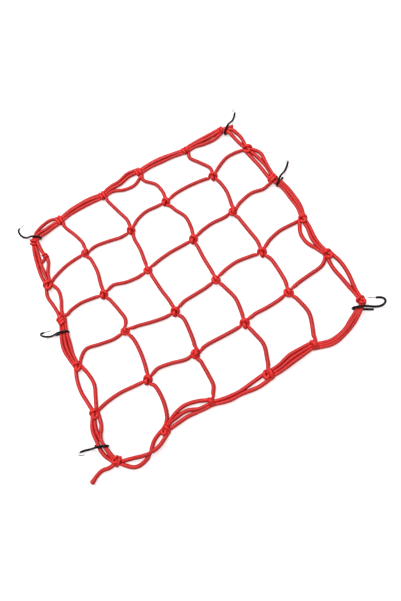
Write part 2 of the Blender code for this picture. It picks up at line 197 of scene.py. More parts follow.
# Inner cords that run across, from the top down.  Each has five strands, with y at a quarter, half and
# three quarters of the way from knot to knot.
ACROSS = (
    ((91, 95, 96), (96, 92, 87), (96, 99, 97), (98, 97, 94), (97, 102, 101)),
    ((37, 38, 35), (35, 29, 26), (30, 31, 30), (33, 34, 32), (38, 40, 36)),
    ((-18, -22, -26), (-28, -33, -37), (-33, -33, -33), (-27, -26, -29), (-25, -22, -23)),
    ((-87, -86, -88), (-85, -88, -93), (-92, -93, -94), (-91, -92, -92), (-87, -86, -85)),
)

# Inner cords that run down, from left to right, with x in the same way.
DOWN = (
    ((-94, -88, -84), (-84, -84, -87), (-85, -82, -80), (-82, -82, -84), (-84, -84, -87)),
    ((-29, -25, -21), (-25, -25, -27), (-28, -27, -25), (-21, -22, -24), (-28, -28, -29)),
    ((23, 33, 35), (36, 42, 41), (35, 34, 34), (37, 40, 38), (37, 39, 34)),
    ((87, 94, 100), (100, 100, 97), (94, 95, 96), (97, 97, 96), (96, 97, 91)),
)

# Outer sides, with a row of cords for each mesh: y along the top and bottom, x along left and right.
TOP = (
    (Strand(155, 164, 168.6, 168.6, 163.2),
     Strand(153, 158.6, 160.1, 160.5, 159.6),
     Strand(151, 152.8, 154.7, 155.8, 156.4, ride=0.7)),
    (Strand(162.8, 165.4, 165.3, 163.7, 159.6),
     Strand(159.8, 162, 161.8, 160, 156, ride=1.9),
     Strand(156.8, 158.8, 158.2, 156.2, 152.6)),
    (Strand(159, 161.7, 161.4, 164.5, 161.6),
     Strand(155.5, 157.3, 156.3, 158.9, 157, ride=0.5),
     Strand(152.3, 153, 145.6, 142.8, 149)),
    (Strand(158.8, 159, 156.8, 152.6, 147.6),
     Strand(155.7, 155.9, 153.4, 149.7, 144.6, ride=2.2),
     Strand(152.6, 152.9, 150.2, 147, 141.8)),
    (Strand(148.4, 148.5, 147.1, 145.8, 144.1),
     Strand(145, 145.1, 142.7, 141.2, 140.2, ride=0.9),
     Strand(141.8, 141.7, 137.7, 135.4, 136.4)),
)

BOTTOM = (
    (Strand(-151, -155.2, -160, -160, -152.4, over=3),
     Strand(-152.5, -165, -163.4, -150.7, -145)),
    (Strand(-146, -139.3, -136.3, -139.3, -146),
     Strand(-146.5, -143.4, -142.9, -147.8, -149, ride=1.8),
     Strand(-150, -148.9, -148.4, -150.6, -152)),
    (Strand(-148.5, -152.8, -154.4, -153.3, -152.2),
     Strand(-152, -156.9, -158.3, -161, -160)),
    (Strand(-153, -152.4, -149.6, -149.7, -150.4, ride=0.8),
     Strand(-156.2, -155.9, -153.5, -153.2, -153.2),
     Strand(-159.4, -159.4, -157.9, -156.9, -156, ride=0.8)),
    (Strand(-153.5, -158.7, -157, -149.6, -143.6),
     Strand(-156, -161.1, -159.1, -152.5, -144.4, over=2),
     Strand(-158.5, -163.6, -161.2, -155.2, -145.2)),
)

LEFT = (
    (Strand(-142.3, -146.5, -148.7, -149.8, -148.6),
     Strand(-139.5, -141.5, -143.8, -144.4, -145.5, ride=0.7),
     Strand(-135.5, -135.8, -133.4, -140.2, -143)),
    (Strand(-150, -153.3, -151.4, -149.9, -150),
     Strand(-142.5, -137.7, -139.2, -144.2, -147)),
    (Strand(-150.8, -155.4, -161, -160.3, -157.4),
     Strand(-147.5, -151.7, -156.2, -156.8, -155, ride=0.9),
     Strand(-144.5, -148, -151.4, -153.4, -152)),
    (Strand(-157.3, -161.5, -162.6, -160.7, -159),
     Strand(-151, -146.7, -145.4, -150.4, -156)),
    (Strand(-162, -168.2, -168, -167, -160.5),
     Strand(-158.5, -163.8, -163.4, -160.4, -156.5, over=2.6),
     Strand(-154.5, -156.8, -162.6, -161.8, -159.4)),
)

RIGHT = (
    (Strand(144.8, 146, 146.8, 148, 148.7),
     Strand(150.2, 152.7, 152.9, 151.6, 151.2)),
    (Strand(147, 148.3, 149.5, 149.8, 149.7),
     Strand(150, 153.8, 155.2, 154.9, 152.6),
     Strand(153, 160, 158.4, 156.6, 155.4, over=2)),
    (Strand(149.5, 154.6, 155.1, 154.8, 150.5),
     Strand(152.5, 157.1, 157.9, 157.2, 152.4, ride=1.7),
     Strand(155.5, 159.6, 160.6, 159.4, 154.2)),
    (Strand(147.5, 140.3, 139.5, 143.8, 148),
     Strand(151, 149.4, 146.4, 147, 149.7, ride=0.7),
     Strand(154, 152.8, 150.2, 150, 152.3)),
    (Strand(148, 145.7, 146.5, 147.3, 147.5),
     Strand(153.5, 155.9, 154.8, 151.3, 149.7)),
)

# Short cords at the corners and loose ends: the points that each one lies through.
CORNER_TIE = ((137, 140.9), (143.8, 137.1), (149.3, 131.8), (151.6, 127))
CORNER_TIE_BACK = ((136.6, 138.3), (141.6, 134), (144.6, 129.5), (145.6, 125))
TAIL = ((-158, -150), (-167, -151), (-176, -149.5), (-184, -151.5), (-190.5, -155))
CUT_END = ((139, 140.3), (143.6, 138.8), (147.4, 137.3), (152, 135.6))
TUCKED_END = ((-134, 122), (-140, 120), (-146, 118))

# Name, x, y, heading, roll, bent, coated, past, tip, reach and aside of each hook.
HOOK_PLACES = (
    HookPlace("hook_1", -134.1, 155.5, 139.5, 121, 149, 147, 0.0, 10.5, 9.5, 2.7),
    HookPlace("hook_2", -152.8, 15.2, 158, 92, 174, 174, 0.4, 10.5, 12.2, -0.4),
    HookPlace("hook_3", -164.7, -128.1, 159, 64, 164, 67, 0.0, 5.0, 9.5, -2.7),
    HookPlace("hook_4", 144.6, 136.0, 37.5, 97, 163, 64, 0.0, 4.6, 9.5, -2.7),
    HookPlace("hook_5", 156.8, 32.4, 36, 98, 148, 76, 0.0, 8.5, 7.0, -0.9),
    HookPlace("hook_6", 141.7, -146.2, -26, 70, 174, 174, 2.4, 10.8, 13.4, -2.5),
)


# ------------------------------------------------------------------ shader maths
def operator_of(operation: str, swapped: bool = False) -> Callable[["Signal", "Signal | float"], "Signal"]:
    """Return the method of an arithmetic operator on Signals, which adds a Math node.

    Args:
        operation: what the node works out.
        swapped: True for the reflected form, which takes the other number first.

    Returns:
        The method.
    """
    def method(one: "Signal", other: "Signal | float") -> "Signal":
        """Return the number that the node gives."""
        return one.graph.maths(operation, *((other, one) if swapped else (one, other)))
    return method


class Signal:
    """A number that varies over a surface, on which plain arithmetic adds the nodes."""

    __add__, __radd__ = operator_of("ADD"), operator_of("ADD", swapped=True)
    __sub__, __rsub__ = operator_of("SUBTRACT"), operator_of("SUBTRACT", swapped=True)
    __mul__, __rmul__ = operator_of("MULTIPLY"), operator_of("MULTIPLY", swapped=True)
    __truediv__, __rtruediv__ = operator_of("DIVIDE"), operator_of("DIVIDE", swapped=True)
    __pow__, __rpow__ = operator_of("POWER"), operator_of("POWER", swapped=True)
    __mod__, __rmod__ = operator_of("FLOORED_MODULO"), operator_of("FLOORED_MODULO", swapped=True)

    def __init__(self, graph: "ShaderGraph", socket: bpy.types.NodeSocket) -> None:
        """Keep the socket that gives the number, and the graph that it belongs to."""
        self.graph = graph
        self.socket = socket

    def whole(self) -> "Signal":
        """Return the whole number at or below self."""
        return self.graph.maths("FLOOR", self)

    def part(self) -> "Signal":
        """Return what self has past its whole number."""
        return self.graph.maths("FRACT", self)

    def arch(self) -> "Signal":
        """Return half a sine wave over each whole step of self."""
        return self.graph.maths("SINE", self.part() * math.pi)

    def between(self, low: float, high: float) -> "Signal":
        """Return nought below low, one above high, and a straight ramp between them."""
        scaled = (self - low) / (high - low)
        return self.graph.maths("MINIMUM", self.graph.maths("MAXIMUM", scaled, 0.0), 1.0)


class ShaderGraph:
    """The nodes of one material."""

    def __init__(self, name: str) -> None:
        """Make a material with a Principled shader and nothing else."""
        self.material = bpy.data.materials.new(name)
        self.material.use_nodes = True
        self.tree = self.material.node_tree
        self.shader = self.tree.nodes["Principled BSDF"]

    def node(self, kind: str, settings: dict[str, object] | None = None,
             inputs: dict[str | int, object] | None = None) -> bpy.types.Node:
        """Add a node.

        Args:
            kind: type of the node.
            settings: its own settings, set first.
            inputs: socket names or numbers, with a value, a Signal or a socket for each.

        Returns:
            The new node.
        """
        node = self.tree.nodes.new(kind)
        for name, value in (settings or {}).items():
            setattr(node, name, value)
        for name, value in (inputs or {}).items():
            self.feed(node.inputs[name], value)
        return node

    def feed(self, socket: bpy.types.NodeSocket, value: object) -> None:
        """Link a Signal or a socket to a socket, or set its value."""
        if isinstance(value, Signal):
            self.tree.links.new(value.socket, socket)
        elif isinstance(value, bpy.types.NodeSocket):
            self.tree.links.new(value, socket)
        else:
            socket.default_value = value

    def maths(self, operation: str, *values: "Signal | float") -> Signal:
        """Add a Math node and return its number."""
        node = self.node("ShaderNodeMath", {"operation": operation}, dict(enumerate(values)))
        return Signal(self, node.outputs[0])

    def along_and_round(self) -> tuple[Signal, Signal]:
        """Return the piece's own UV: millimetres along the cord or wire, and turns round it."""
        layer = self.node("ShaderNodeUVMap", {"uv_map": "UVMap"})
        parts = self.node("ShaderNodeSeparateXYZ", inputs={0: layer.outputs["UV"]})
        return Signal(self, parts.outputs[0]) / MM, Signal(self, parts.outputs[1])

    def kept(self, name: str) -> Signal:
        """Return a number that the piece keeps at each of its corners."""
        return Signal(self, self.node("ShaderNodeAttribute", {"attribute_name": name}).outputs["Fac"])

    def noise(self, scale: float, detail: float = 2.0) -> Signal:
        """Return soft noise on the object's own coordinates, about a half."""
        place = self.node("ShaderNodeTexCoord")
        noise = self.node("ShaderNodeTexNoise", inputs={
            "Vector": place.outputs["Object"], "Scale": scale, "Detail": detail})
        return Signal(self, noise.outputs[0])

    def blend(self, share: "Signal | float", first: object, second: object) -> bpy.types.NodeSocket:
        """Mix two colours.

        Args:
            share: how much of the second one there is.
            first, second: the colours, each an RGB tuple or a socket.

        Returns:
            The socket of the mixed colour.
        """
        node = self.node("ShaderNodeMix", {"data_type": "RGBA", "clamp_factor": True})
        self.feed(node.inputs[0], share)
        for socket, colour in ((node.inputs[6], first), (node.inputs[7], second)):
            self.feed(socket, (*colour, 1.0) if isinstance(colour, tuple) else colour)
        return node.outputs[2]

    def relief(self, height: Signal, depth: float) -> bpy.types.NodeSocket:
        """Return a normal that stands the height out by the depth in metres."""
        bump = self.node("ShaderNodeBump", inputs={"Strength": 1.0, "Distance": depth, "Height": height})
        return bump.outputs[0]

    def dressed(self, colour: bpy.types.NodeSocket, roughness: Signal | None = None,
                normal: bpy.types.NodeSocket | None = None) -> bpy.types.Material:
        """Let the shader's sockets vary over the surface.

        Args:
            colour: for the base colour.
            roughness, normal: for those, where they vary.

        Returns:
            The finished material.
        """
        for name, value in (("Base Color", colour), ("Roughness", roughness), ("Normal", normal)):
            if value is not None:
                self.feed(self.shader.inputs[name], value)
        return self.material


@dataclass(frozen=True)
class Finish:
    """What every finish has: its name, and the plain numbers of its shader."""

    name: str
    sockets: tuple[tuple[str, float], ...]

    def start(self) -> ShaderGraph:
        """Return a graph with the plain numbers set on the shader's own sockets."""
        graph = ShaderGraph(self.name)
        for socket, value in self.sockets:
            graph.shader.inputs[socket].default_value = value
        return graph


@dataclass(frozen=True)
class BraidFinish(Finish):
    """Tubular braid of elastic cord: yarns that cross over and under on two slants.

    Colours: lit_knot, a brighter red on yarns on top of a knot, as painted light; drawn, of a
    yarn on a drawn-out strand; flank_shade, painted shade on a yarn low on the cord's side;
    groove_shade, painted shade between the yarns; worn, where the braid has rubbed.  yarns: of each
    slant round the cord.  lay_mm: length of cord from one to the next.  relief_mm: height of a yarn.
    dip: share of its height that a yarn loses at its edge.  shading: how fast the painted shade
    darkens the flanks.  patchy, rubbed: fineness of the uneven and worn spots.
    """

    # Painted light: a brighter red for the tops of knots.
    lit_knot: tuple[float, float, float] = (0.93, 0.016, 0.011)
    drawn: tuple[float, float, float] = (0.55, 0.014, 0.012)
    # Painted shade for the low flanks of a cord.
    flank_shade: tuple[float, float, float] = (0.34, 0.005, 0.005)
    # Painted shade between the yarns.
    groove_shade: tuple[float, float, float] = (0.34, 0.004, 0.004)
    worn: tuple[float, float, float] = (0.74, 0.022, 0.018)
    yarns: int = 9
    lay_mm: float = 1.3
    relief_mm: float = 0.09
    dip: float = 0.38
    shading: float = 2.2
    patchy: float = 26.0
    rubbed: float = 180.0

    def material(self) -> bpy.types.Material:
        """Return the finished material."""
        graph = self.start()
        along, round_it = graph.along_and_round()
        left = along / self.lay_mm + round_it * self.yarns
        right = along / self.lay_mm - round_it * self.yarns
        over = (left.whole() + right.whole()) % 2.0
        left_yarn = left.arch() * (1.0 - self.dip + self.dip * right.arch())
        right_yarn = right.arch() * (1.0 - self.dip + self.dip * left.arch())
        height = left_yarn * over + right_yarn * (1.0 - over)
        stretch = graph.noise(self.patchy)
        rub = graph.noise(self.rubbed, 3.0)
        # Painted light: knots, and a little the outer sides, get a brighter red than drawn-out strands.
        top = graph.blend(graph.kept(LIT_SHARE), self.drawn, self.lit_knot)
        # Painted shade: the red darkens towards the flank colour where the cord faces away from straight up.
        yarn = graph.blend(graph.kept(UPPERMOST) ** self.shading, self.flank_shade, top)
        # Painted shade in the grooves between the yarns.
        cloth = graph.blend(height ** 0.7, self.groove_shade, yarn)
        wear = rub.between(0.52, 0.80) * 0.3 + stretch.between(0.4, 0.75) * 0.2
        cloth = graph.blend(wear, cloth, self.worn)
        roughness = 0.50 - 0.12 * height + 0.10 * (rub - 0.5)
        return graph.dressed(cloth, roughness, graph.relief(height, self.relief_mm * MM))


@dataclass(frozen=True)
class DippedFinish(Finish):
    """Black dip coating on wire: glossy, a little uneven, duller where it has rubbed."""

    black: tuple[float, float, float] = (0.003, 0.003, 0.0035)
    rubbed: tuple[float, float, float] = (0.014, 0.014, 0.015)
    relief_mm: float = 0.12

    def material(self) -> bpy.types.Material:
        """Return the finished material."""
        graph = self.start()
        ripple = graph.noise(420.0, 2.0)
        scuff = graph.noise(1500.0, 3.0)
        wear = scuff.between(0.55, 0.8)
        dip = graph.blend(wear * 0.7, self.black, self.rubbed)
        roughness = 0.20 + 0.22 * wear + 0.08 * ripple
        return graph.dressed(dip, roughness, graph.relief(ripple + scuff * 0.2, self.relief_mm * MM))


@dataclass(frozen=True)
class SteelFinish(Finish):
    """Bare drawn steel wire, bright with dull spots."""

    bright: tuple[float, float, float] = (0.72, 0.72, 0.73)
    dull: tuple[float, float, float] = (0.42, 0.42, 0.43)
    relief_mm: float = 0.02

    def material(self) -> bpy.types.Material:
        """Return the finished material."""
        graph = self.start()
        spots = graph.noise(900.0, 3.0)
        metal = graph.blend(spots.between(0.4, 0.8), self.bright, self.dull)
        return graph.dressed(metal, 0.26 + 0.12 * spots, graph.relief(spots, self.relief_mm * MM))


@dataclass(frozen=True)
class FloorFinish(Finish):
    """Plain pale floor with hardly any grain, tinted pink as painted red light thrown back from the cords."""

    # Painted reflection: the pink tint stands in for red light thrown onto the floor by the cords.
    pale: tuple[float, float, float] = (0.70, 0.62, 0.615)
    shade: tuple[float, float, float] = (0.68, 0.60, 0.60)

    def material(self) -> bpy.types.Material:
        """Return the finished material."""
        graph = self.start()
        patches = graph.noise(3.0).between(0.3, 0.7)
        return graph.dressed(graph.blend(patches, self.pale, self.shade))


# ------------------------------------------------------------------ cords
def held(value: float, low: float = 0.0, high: float = 1.0) -> float:
    """Return the value, held between low and high."""
    return min(max(value, low), high)


def fuller(swing: float, power: float) -> float:
    """Return a swing between -1 and 1 that stays longer near its two ends."""
    return math.copysign(abs(swing) ** power, swing)


def between_knots(first: Vector, last: Vector, share: float, value: float, across: bool) -> Vector:
    """Return a point of a cord on its way between two knots.

    Args:
        first, last: the places of the knots.
        share: share of the way from the first to the last.
        value: y of the point where the cord runs across, or else its x.
        across: True where the cord runs along X.

    Returns:
        The point on the ground.
    """
    if across:
        return Vector((first.x + (last.x - first.x) * share, value, 0.0))
    return Vector((value, first.y + (last.y - first.y) * share, 0.0))


def rounded_path(points: Sequence[Vector], step: float) -> list[Vector]:
    """Draw a smooth curve through points that may lie at uneven distances.

    Args:
        points: the points that the curve goes through.
        step: about how far apart the curve's own points are.

    Returns:
        The points of the curve.
    """
    ends = [2 * points[0] - points[1], *points, 2 * points[-1] - points[-2]]
    path = [points[0].copy()]
    for index in range(1, len(ends) - 2):
        before, start, finish, after = ends[index - 1:index + 3]
        knots = [0.0]
        for one, two in ((before, start), (start, finish), (finish, after)):
            knots.append(knots[-1] + max((two - one).length, 1e-6) ** 0.5)
        pieces = max(1, round((finish - start).length / step))
        for piece in range(1, pieces + 1):
            t = knots[1] + (knots[2] - knots[1]) * piece / pieces
            a1 = before.lerp(start, (t - knots[0]) / (knots[1] - knots[0]))
            a2 = start.lerp(finish, (t - knots[1]) / (knots[2] - knots[1]))
            a3 = finish.lerp(after, (t - knots[2]) / (knots[3] - knots[2]))
            b1 = a1.lerp(a2, (t - knots[0]) / (knots[2] - knots[0]))
            b2 = a2.lerp(a3, (t - knots[1]) / (knots[3] - knots[1]))
            path.append(b1.lerp(b2, (t - knots[1]) / (knots[2] - knots[1])))
    return path


# How a tube ends: its rounding, as radii further on and how narrow it is there, then the distance
# that the very end stands out in radii, its length on the unwrapped tube, and how far up it faces.
ROUND_END = ((0.18, 0.93), (0.40, 0.75), (0.55, 0.45))
POINT = 0.3
POINT_UV = 0.0003
END_TOP = 0.5


@dataclass(frozen=True)
class Ring:
    """One ring of a tube: its middle, the way the tube goes, its radius and the length so far."""

    middle: Vector
    onward: Vector
    radius: float
    length: float

    def beyond(self, by: float, narrow: float) -> "Ring":
        """Return a narrower ring that lies so many radii further on."""
        on = self.radius * by
        return Ring(self.middle + self.onward * on, self.onward, self.radius * narrow, self.length + on)


@dataclass
class CordMaker:
    """Makes round cords as closed tubes, and knows how they lie on the ground.

    radius: of a lying cord.  pressed: of a cord beside others on an outer side, and squeezed_to
    where they press hardest.  room: its radius as a share of the distance to the next cord.
    knotted: radius of a cord that is pulled tight in a knot.  tight_to, slack_from: distances from
    the middle of a knot within which a cord is that tight, and beyond which it isn't.  bulged:
    radius on top of a knot.  bulge_from, bulge_to: heights between which it gets that full.
    uneven, waves: how much a thickness varies, and how often.  sides: flats round a cord.  step:
    distance between its rings.  rest: height of a lying cord's centre.  lift_flat, lift_end:
    distances from a hook's eye within which a cord is lifted all the way, and beyond which it
    lies on the ground.  lifted: height of its centre in the eye.  knot_lift: share of that lift
    in a knot.
    """

    radius: float = 2.4
    pressed: float = 2.35
    squeezed_to: float = 1.9
    room: float = 0.54
    knotted: float = 1.75
    tight_to: float = 5.5
    slack_from: float = 9.0
    bulged: float = 2.5
    bulge_from: float = 3.2
    bulge_to: float = 5.6
    uneven: float = 0.012
    waves: float = 41.0
    sides: int = 14
    step: float = 1.3
    rest: float = 2.45
    lift_flat: float = 5.0
    lift_end: float = 17.0
    lifted: float = 4.85
    knot_lift: float = 0.9

    def lift(self, x: float, y: float) -> float:
        """Return how far a cord is lifted at (x, y) by a wire that passes under it."""
        near = min(math.hypot(x - hook.x, y - hook.y) for hook in HOOK_PLACES)
        share = held((self.lift_end - near) / (self.lift_end - self.lift_flat))
        return (self.lifted - self.rest) * share * share * (3 - 2 * share)

    def on_ground(self, x: float, y: float, above: float = 0.0) -> Vector:
        """Return the point where a cord lies at (x, y), lifted by the hooks and by what is given."""
        return Vector((x, y, self.rest + max(above, self.lift(x, y))))

    def in_knot(self, place: Vector, height: float) -> Vector:
        """Return the point of a knot's turn at a height over the place, lifted by the hooks."""
        return Vector((place.x, place.y, height + self.lift(place.x, place.y) * self.knot_lift))

    def tube(self, points: Sequence[Vector], radius: Callable[[Vector, float], float]) -> "TubeShape":
        """Return a closed tube with rounded ends.

        Args:
            points: what the cord's centre goes through.
            radius: gives the radius at a point that is a share of the length along, nought to one.

        Returns:
            The tube's corners, faces and unwrapped corners.
        """
        path = rounded_path(points, self.step)
        lengths = [0.0]
        for one, two in zip(path, path[1:]):
            lengths.append(lengths[-1] + (two - one).length)
        whole = lengths[-1]
        rings = []
        for index, point in enumerate(path):
            before, after = path[max(index - 1, 0)], path[min(index + 1, len(path) - 1)]
            size = radius(point, lengths[index] / whole)
            rings.append(Ring(point, (after - before).normalized(), size, lengths[index]))
        head = [rings[0].beyond(-by, narrow) for by, narrow in reversed(ROUND_END)]
        foot = [rings[-1].beyond(by, narrow) for by, narrow in ROUND_END]
        return TubeShape.from_rings([*head, *rings, *foot], self.sides)

    def wavy(self, size: float, share: float) -> float:
        """Return a radius that varies a little along a cord, at a share of its length."""
        return size * (1.0 + self.uneven * math.sin(share * self.waves))

    def plain(self, points: Sequence[Vector], size: float) -> "TubeShape":
        """Return a cord of nearly even thickness through the points."""
        return self.tube(points, lambda point, share: self.wavy(size, share))

    def squeezed(self, points: Sequence[Vector], beside: Sequence[Vector]) -> "TubeShape":
        """Return a cord that is thinner where the cords beside it press on it.

        Args:
            points: what its centre goes through.
            beside: points of the cords beside it.

        Returns:
            The cord.
        """
        def size(point: Vector, share: float) -> float:
            """Return the radius at a point, at a share of the length."""
            near = min((point - other).length for other in beside)
            return self.wavy(held(near * self.room, self.squeezed_to, self.pressed), share)
        return self.tube(points, size)

    def tied(self, points: Sequence[Vector], knots: Sequence[Knot]) -> "TubeShape":
        """Return a cord that is pulled tight in its knots.

        Args:
            points: what its centre goes through.
            knots: all the knots that it is tied into.

        Returns:
            The cord.
        """
        def size(point: Vector, share: float) -> float:
            """Return the radius at a point, at a share of the length."""
            near = min(math.hypot(point.x - knot.x, point.y - knot.y) for knot in knots)
            slack = held((near - self.tight_to) / (self.slack_from - self.tight_to))
            bulge = (point.z - self.bulge_from) / (self.bulge_to - self.bulge_from)
            return (self.knotted + (self.radius - self.knotted) * slack
                    + (self.bulged - self.knotted) * held(bulge, high=1.0 - slack))
        return self.tube(points, size)


@dataclass
class TubeShape:
    """Corners, faces and unwrapped corners of one tube or of several, in millimetres.

    tops: how far up each corner faces, which sets the painted shade on the flanks.  lit_full_to,
    lit_none_from: distances from a knot's middle within which a cord gets all the painted knot
    light, and beyond which it gets none.
    """

    lit_full_to: ClassVar[float] = 6.5
    lit_none_from: ClassVar[float] = 10.5
    corners: list[Vector] = field(default_factory=list)
    tops: list[float] = field(default_factory=list)
    faces: list[tuple[int, ...]] = field(default_factory=list)
    unwrapped: list[tuple[float, float]] = field(default_factory=list)

    @classmethod
    def from_rings(cls, rings: Sequence[Ring], sides: int) -> "TubeShape":
        """Make a closed tube.

        Args:
            rings: the rings along it.
            sides: flats round it.

        Returns:
            The tube.
        """
        shape = cls()
        across = rings[0].onward.orthogonal().normalized()
        for ring in rings:
            across = (across - ring.onward * across.dot(ring.onward)).normalized()
            upright = ring.onward.cross(across)
            for side in range(sides):
                turn = 2 * math.pi * side / sides
                out = across * math.cos(turn) + upright * math.sin(turn)
                shape.corners.append(ring.middle + out * ring.radius)
                shape.tops.append(max(out.z, 0.0))
        for number, (ring, after) in enumerate(zip(rings, rings[1:])):
            here, there = number * sides, (number + 1) * sides
            u0, u1 = ring.length * MM, after.length * MM
            for side in range(sides):
                beside = (side + 1) % sides
                v0, v1 = side / sides, (side + 1) / sides
                shape.faces.append((here + side, here + beside, there + beside, there + side))
                shape.unwrapped += [(u0, v0), (u0, v1), (u1, v1), (u1, v0)]
        shape.close_end(rings[0], 0, sides, -1)
        shape.close_end(rings[-1], (len(rings) - 1) * sides, sides, 1)
        return shape

    def close_end(self, ring: Ring, start: int, sides: int, outward: int) -> None:
        """Close one end of the tube with a blunt point.

        Args:
            ring: the ring at that end.
            start: number of the ring's first corner.
            sides: flats round the tube.
            outward: 1 at the end that the tube goes to, -1 at the end that it starts from.
        """
        tip = len(self.corners)
        self.corners.append(ring.middle + ring.onward * ring.radius * POINT * outward)
        self.tops.append(END_TOP)
        length = ring.length * MM
        for side in range(sides):
            rim = [(start + side, side / sides), (start + (side + 1) % sides, (side + 1) / sides)]
            (one, v_one), (two, v_two) = rim[::outward]
            self.faces.append((one, two, tip))
            self.unwrapped += [(length, v_one), (length, v_two), (length + POINT_UV * outward, side / sides)]

    def add(self, other: "TubeShape") -> None:
        """Add another shape to this one."""
        start = len(self.corners)
        self.corners += other.corners
        self.tops += other.tops
        self.faces += [tuple(start + corner for corner in face) for face in other.faces]
        self.unwrapped += other.unwrapped

    def lit_share_at(self, corner: Vector) -> float:
        """Return the share of painted knot light at a corner: 1 inside a knot, 0 in a drawn-out strand."""
        near = min(math.hypot(corner.x - knot.x, corner.y - knot.y) for knot in KNOTS.values())
        return held((self.lit_none_from - near) / (self.lit_none_from - self.lit_full_to))

    def piece(self, name: str, material: bpy.types.Material, node: str, between: float = 1.0) -> None:
        """Turn the shape into a finished piece that rides with the net.

        Args:
            name: of the piece.
            material: its finish.
            node: the node of the solids that it stands for.
            between: share of the painted knot light that the cord gets between knots, 0 for none.
        """
        mesh = bpy.data.meshes.new(name)
        middle = OUTLINE_CENTRE
        places = [((c.x - middle.x) * MM, (c.y - middle.y) * MM, c.z * MM) for c in self.corners]
        mesh.from_pydata(places, [], self.faces)
        layer = mesh.uv_layers.new(name="UVMap")
        layer.data.foreach_set("uv", [number for pair in self.unwrapped for number in pair])
        # Painted light: how much of the brighter knot red each corner gets.
        lit_share = [max(self.lit_share_at(corner), between) for corner in self.corners]
        for kept, numbers in ((LIT_SHARE, lit_share), (UPPERMOST, self.tops)):
            mesh.attributes.new(kept, "FLOAT", "POINT").data.foreach_set("value", numbers)
        mesh.polygons.foreach_set("use_smooth", [True] * len(mesh.polygons))
        mesh.materials.append(material)
        mesh.update()
        piece = bpy.data.objects.new(name, mesh)
        bpy.context.scene.collection.objects.link(piece)
        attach(piece, "root")
        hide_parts(node)
        log.info("%s: %d faces", name, len(self.faces))


# ------------------------------------------------------------------ inner cords and their knots
@dataclass
class MeshKnotMaker:
    """Runs one cord down and one cord across through each inner knot.

    The passes are given with the knot seen upright: x to the right, y up, then the height.  Each
    goes the way that its own cord runs: down from the upper left to the lower right, and across
    from the left to the upper right.  upright: how far the plan is turned from that view.  wide,
    high: size of the knot that the passes are given for.  leg: distance from a knot's middle where
    its passes begin.  follow: how far their ends turn towards the cord outside.
    """

    upright: float = -29.0
    wide: float = 9.9
    high: float = 9.4
    leg: float = 9.5
    follow: float = 0.7
    capped_down: Route = (
        (-1.8, 4.6, 2.5), (-1.0, 2.2, 2.3), (-0.6, -0.2, 4.2), (-0.3, -2.6, 5.1), (0.0, -4.4, 4.0),
        (0.6, -3.9, 1.9), (1.8, -2.3, 1.8), (3.2, -3.2, 2.1), (4.1, -4.8, 2.3))
    capped_across: Route = (
        (-4.9, -1.8, 2.2), (-4.1, 0.2, 3.4), (-2.7, 1.6, 5.0), (0.0, 2.1, 5.8), (2.7, 1.5, 5.0),
        (4.0, -0.3, 3.6), (2.8, -1.9, 2.2), (0.4, -1.0, 1.75), (0.6, 2.0, 1.8), (2.1, 4.6, 2.4))
    round_down: Route = (
        (-1.8, 4.8, 2.6), (-0.8, 2.9, 4.5), (0.3, 0.9, 5.9), (1.2, -1.1, 5.6), (2.3, -2.8, 3.8),
        (4.0, -5.0, 2.3))
    round_across: Route = (
        (-4.7, -2.6, 2.1), (-1.5, -1.4, 1.8), (1.9, 0.0, 1.8), (3.8, -0.4, 2.8), (3.2, -2.8, 3.4),
        (0.4, -3.9, 3.9), (-2.0, -2.9, 4.6), (-3.1, -0.7, 5.0), (-2.6, 1.4, 3.8), (-0.9, 2.0, 1.8),
        (1.6, 1.6, 1.8), (3.2, 3.9, 2.3))

    def pass_through(self, knot: Knot, down: bool, before: Vector, after: Vector,
                     cords: CordMaker) -> list[Vector]:
        """Return the points of one cord inside a knot.

        Args:
            knot: the knot.
            down: True for the cord that runs down, False for the one that runs across.
            before, after: the cord's last point before the knot and its first point after it.
            cords: says how cords lie.

        Returns:
            The points on the plan.
        """
        if knot.tie is Tie.CAPPED:
            local = self.capped_down if down else self.capped_across
        else:
            local = self.round_down if down else self.round_across
        turn = Matrix.Rotation(math.radians(self.upright + knot.angle), 3, "Z")
        points = []
        for x, y, height in local:
            flat = Vector((x * knot.across / self.wide, y * knot.along / self.high, 0.0))
            points.append(cords.in_knot(turn @ flat + knot.place, height))
        for end, leg in ((0, before), (-1, after)):
            reach = Vector((points[end].x - knot.x, points[end].y - knot.y, 0.0)).length
            outward = Vector((leg.x - knot.x, leg.y - knot.y, 0.0)).normalized() * reach + knot.place
            points[end].x += (outward.x - points[end].x) * self.follow
            points[end].y += (outward.y - points[end].y) * self.follow
        return points


